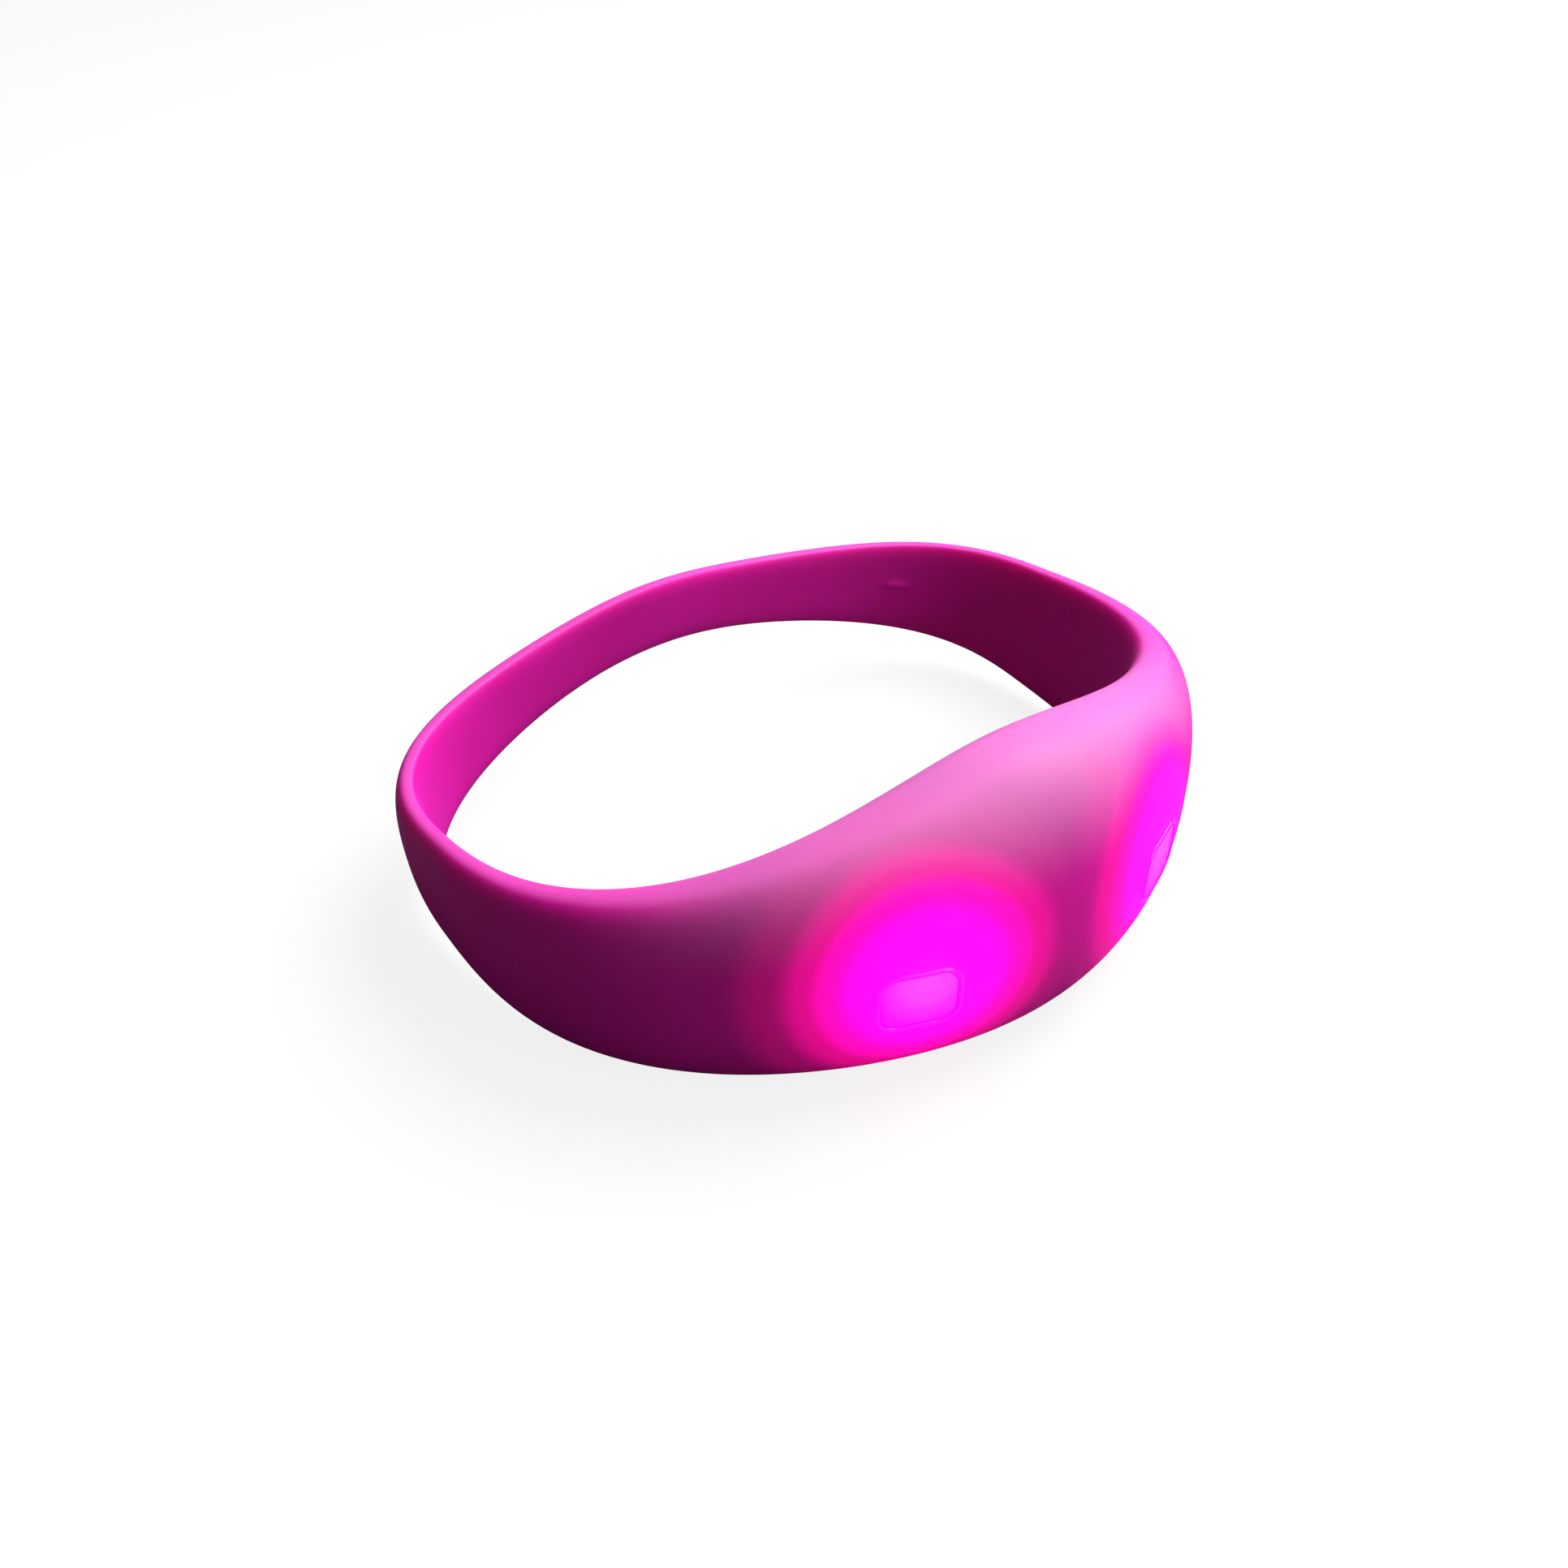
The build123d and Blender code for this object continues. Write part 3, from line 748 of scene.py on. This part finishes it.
# ---- Metal parts ----
# Coin cells pressed from stainless steel, steel screws, nickel silver contacts and tinned leads.
# Pressing and handling leave fine scratches in one direction, and dull patches.
def worked_metal_group():
    group = node_group("ShaderNodeTree", "Worked Metal",
                       [("Scratch Size", "NodeSocketFloat", 0.05 * MM),
                        ("Stretch", "NodeSocketFloat", 14.0),
                        ("Rough Low", "NodeSocketFloat", 0.2),
                        ("Rough High", "NodeSocketFloat", 0.4)],
                       [("Height", "NodeSocketFloat"), ("Roughness", "NodeSocketFloat"),
                        ("Dullness", "NodeSocketFloat")])
    given = add_node(group, "NodeGroupInput").outputs
    place = add_node(group, "ShaderNodeTexCoord").outputs["Object"]
    stretch = Number(group, given["Stretch"]) ** -1
    squeeze = add_node(group, "ShaderNodeCombineXYZ", {"Y": 1.0, "Z": 1.0}, {"X": stretch})
    drawn = add_node(group, "ShaderNodeVectorMath", links={0: place, 1: squeeze.outputs[0]},
                     operation="MULTIPLY")
    scratches = add_node(group, "ShaderNodeTexNoise", {"Detail": 4.0},
                         {"Vector": drawn.outputs[0],
                          "Scale": Number(group, given["Scratch Size"]) ** -1})
    patches = add_node(group, "ShaderNodeTexNoise", {"Detail": 3.0, "Scale": 700.0},
                       {"Vector": place})
    dullness = Number(group, scratches.outputs["Fac"]) * 0.5
    dullness += Number(group, patches.outputs["Fac"]) * 0.5
    rough = add_node(group, "ShaderNodeMapRange", {"From Min": 0.35, "From Max": 0.65},
                     {"Value": dullness, "To Min": given["Rough Low"],
                      "To Max": given["Rough High"]})
    add_node(group, "NodeGroupOutput",
             links={"Height": scratches.outputs["Fac"], "Roughness": rough.outputs["Result"],
                    "Dullness": dullness})
    return group


SCRATCH_DEPTH = 0.002 * MM
METALS = (
    ("cell_steel", (0.50, 0.50, 0.49), (0.68, 0.68, 0.67), (0.18, 0.36), 0.05, 14.0,
     ("left_cell_can", "left_cell_cap", "right_cell_can", "right_cell_cap")),
    ("screw_steel", (0.42, 0.42, 0.43), (0.58, 0.58, 0.59), (0.22, 0.40), 0.04, 4.0,
     ("cover_screws",)),
    ("contact_metal", (0.58, 0.54, 0.46), (0.72, 0.68, 0.60), (0.20, 0.34), 0.05, 18.0,
     ("bridge_contact", "left_board_contact", "right_board_contact")),
    ("switch_metal", (0.52, 0.52, 0.51), (0.66, 0.66, 0.65), (0.24, 0.38), 0.05, 10.0,
     ("switch_plate",)),
    ("tinned_metal", (0.60, 0.60, 0.58), (0.76, 0.76, 0.74), (0.26, 0.44), 0.08, 2.0,
     ("controller_leads", "switch_terminals")),
)
worked_metal = worked_metal_group()
metal_finishes = {}
for name, dark, light, rough, scratch_mm, stretch, nodes in METALS:
    metal = new_material(name, metallic=1.0)
    values = {"Scratch Size": scratch_mm * MM, "Stretch": stretch,
              "Rough Low": rough[0], "Rough High": rough[1]}
    add_finish(metal, worked_metal, values, "Dullness", (light, dark), SCRATCH_DEPTH)
    dress(metal, *nodes)
    metal_finishes[name] = metal


# ---- Circuit board ----
# Glass-epoxy laminate under green solder mask. Copper tracks lie under the mask and show as
# slightly raised, paler runs on a square grid.
TRACK_PITCH = 1.27 * MM
TRACK_HALF_WIDTH = 0.12
TRACK_RUN = 4
TRACK_STAGGER = 0.37
TRACK_SHARE = 0.5
TRACK_HEIGHT = 0.03 * MM


def board_laminate():
    material = new_material("board_laminate", specular_ior_level=0.5)
    tree = material.node_tree
    shader = tree.nodes["Principled BSDF"]
    tint = add_grain(material, (0.004, 0.060, 0.022), (0.008, 0.085, 0.034), (0.26, 0.40),
                     0.10 * MM, 4 * MM, 0.002 * MM)
    place = add_node(tree, "ShaderNodeTexCoord").outputs["Object"]
    apart = add_node(tree, "ShaderNodeSeparateXYZ", links={0: place}).outputs
    runs = []
    for axis, other in (("X", "Z"), ("Z", "X")):
        across = Number(tree, apart[axis]) / TRACK_PITCH
        lane = across.by("FLOOR")
        line = (across.by("FRACT") - 0.5).by("ABSOLUTE").by("LESS_THAN", TRACK_HALF_WIDTH)
        along = Number(tree, apart[other]) / (TRACK_RUN * TRACK_PITCH)
        part = (along + lane * TRACK_STAGGER).by("FLOOR")
        pick = add_node(tree, "ShaderNodeCombineXYZ", links={"X": lane, "Y": part})
        chance = add_node(tree, "ShaderNodeTexWhiteNoise", links={"Vector": pick.outputs[0]},
                          noise_dimensions="3D")
        laid = Number(tree, chance.outputs["Value"]).by("GREATER_THAN", TRACK_SHARE)
        runs.append(line * laid)
    track = runs[0].by("MAXIMUM", runs[1])
    copper = add_node(tree, "ShaderNodeMix", data_type="RGBA",
                      links={0: track, 6: tint.outputs[2]})
    copper.inputs[7].default_value = (0.020, 0.150, 0.055, 1)
    relief = add_node(tree, "ShaderNodeBump", {"Strength": 1.0, "Distance": TRACK_HEIGHT},
                      {"Height": track})
    tree.links.new(copper.outputs[2], shader.inputs["Base Color"])
    tree.links.new(relief.outputs["Normal"], shader.inputs["Normal"])
    return material


dress(board_laminate(), "circuit_board")


# ---- Solder joints ----
# A small dome of solder where each lead and terminal meets the board, wetted out at its foot.
SOLDER_WIDTH = 0.7 * MM
SOLDER_HEIGHT = 0.22 * MM
SOLDER_LEAST = 0.85
SOLDER_SWELL = 0.25
SOLDER_SEED = 7


def solder_tree():
    """A squashed ball on each given point, each a little different in width."""
    tree = node_group("GeometryNodeTree", "Solder Joints",
                      [("Places", "NodeSocketGeometry", None), ("Width", "NodeSocketFloat", None),
                       ("Height", "NodeSocketFloat", None), ("Seed", "NodeSocketInt", None),
                       ("Material", "NodeSocketMaterial", None)],
                      [("Geometry", "NodeSocketGeometry")])
    given = add_node(tree, "NodeGroupInput").outputs
    ball = add_node(tree, "GeometryNodeMeshUVSphere",
                    {"Segments": 16, "Rings": 10, "Radius": 0.5})
    uneven = add_node(tree, "FunctionNodeRandomValue", links={"Seed": given["Seed"]})
    swell = Number(tree, uneven.outputs[1]) * SOLDER_SWELL + SOLDER_LEAST
    width = Number(tree, given["Width"]) * swell
    size = add_node(tree, "ShaderNodeCombineXYZ",
                    links={"X": width, "Y": Number(tree, given["Height"]) * 2, "Z": width})
    joints = add_node(tree, "GeometryNodeInstanceOnPoints",
                      links={"Points": given["Places"], "Instance": ball.outputs[0],
                             "Scale": size.outputs[0]})
    end_tree(tree, joints.outputs[0], given["Material"])
    return tree


def lead_feet():
    """Where the chip's leads and the switch's terminals stand on the board."""
    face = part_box("circuit_board")[0].y
    feet = []
    for node, rows in (("controller_leads", 4), ("switch_terminals", 2)):
        low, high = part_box(node)
        for x in (low.x, high.x):
            for row in range(rows):
                rise = low.z + (high.z - low.z) * (row + 0.5) / rows
                feet.append((x, face, rise))
    return feet


feet_mesh = bpy.data.meshes.new("lead_feet")
feet_mesh.from_pydata(lead_feet(), [], [])
solder = made_by_nodes("solder_joints", solder_tree(),
                       {"Width": SOLDER_WIDTH, "Height": SOLDER_HEIGHT, "Seed": SOLDER_SEED,
                        "Material": metal_finishes["tinned_metal"]}, feet_mesh)
turn_outwards(solder)
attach(solder, "capsule")


# ---- Floor, light and camera ----
# A plain pale floor, one large soft lamp above on the right, and a weaker one in front.
FLOOR_HALF = 3.0
FLOOR_LIFT = 0.85
floor_mesh = bpy.data.meshes.new("floor")
floor_corners = [(x * FLOOR_HALF, y * FLOOR_HALF, 0) for x, y in ((-1, -1), (1, -1), (1, 1), (-1, 1))]
floor_mesh.from_pydata(floor_corners, [], [(0, 1, 2, 3)])
floor = bpy.data.objects.new("floor", floor_mesh)
bpy.context.collection.objects.link(floor)
floor_paint = new_material("floor_paint", base_color=(0.12, 0.12, 0.12, 1), roughness=0.95,
                           emission_color=(1, 1, 1, 1), specular_ior_level=0.1)
seen = add_node(floor_paint.node_tree, "ShaderNodeLightPath").outputs["Is Camera Ray"]
lift = Number(floor_paint.node_tree, seen) * FLOOR_LIFT
floor_paint.node_tree.links.new(
    lift.socket, floor_paint.node_tree.nodes["Principled BSDF"].inputs["Emission Strength"])
floor_mesh.materials.append(floor_paint)
shift_mesh(floor, Vector((0, 0, cad_bounds[0].z)))


def soft_lamp(name, place, size, power, colour):
    """Round soft lamp that faces the middle of the loop."""
    lamp = bpy.data.lights.new(name, "AREA")
    lamp.shape = "DISK"
    lamp.size = size
    lamp.energy = power
    lamp.color = colour
    holder = bpy.data.objects.new(name, lamp)
    holder.location = place
    holder.rotation_euler = (loop_centre - Vector(place)).to_track_quat("-Z", "Y").to_euler()
    bpy.context.collection.objects.link(holder)


soft_lamp("key_lamp", (0.28, 0.0, 0.39), 0.46, 5.4, (0.94, 0.95, 1.0))
soft_lamp("front_lamp", (0.15, -0.42, 0.28), 0.3, 0.8, (0.95, 0.95, 1.0))

world = bpy.data.worlds.new("studio")
world.use_nodes = True
world.node_tree.nodes["Background"].inputs["Color"].default_value = (1, 0.96, 0.9, 1)
world.node_tree.nodes["Background"].inputs["Strength"].default_value = 0.16
bpy.context.scene.world = world

AZIMUTH = math.radians(-38.26)
ELEVATION = math.radians(37.1)
ROLL = math.radians(0.1)
DISTANCE = 170 * MM
LENS = 37.53
AIM_ACROSS = 1.04 * MM
AIM_UP = -6.04 * MM
back = Vector((math.sin(AZIMUTH) * math.cos(ELEVATION), -math.cos(AZIMUTH) * math.cos(ELEVATION),
               math.sin(ELEVATION)))
right = (-back).cross(Vector((0, 0, 1))).normalized()
up = right.cross(-back)
turned_right = math.cos(ROLL) * right + math.sin(ROLL) * up
turned_up = math.cos(ROLL) * up - math.sin(ROLL) * right
camera_data = bpy.data.cameras.new("camera")
camera_data.lens = LENS
camera_data.clip_start = 5 * MM
camera = bpy.data.objects.new("camera", camera_data)
turn = Matrix((turned_right, turned_up, back)).transposed()
place = loop_centre + turned_right * AIM_ACROSS + turned_up * AIM_UP + back * DISTANCE
camera.matrix_world = Matrix.Translation(place) @ turn.to_4x4()
bpy.context.collection.objects.link(camera)
bpy.context.scene.camera = camera
bpy.context.scene.view_settings.view_transform = "Standard"
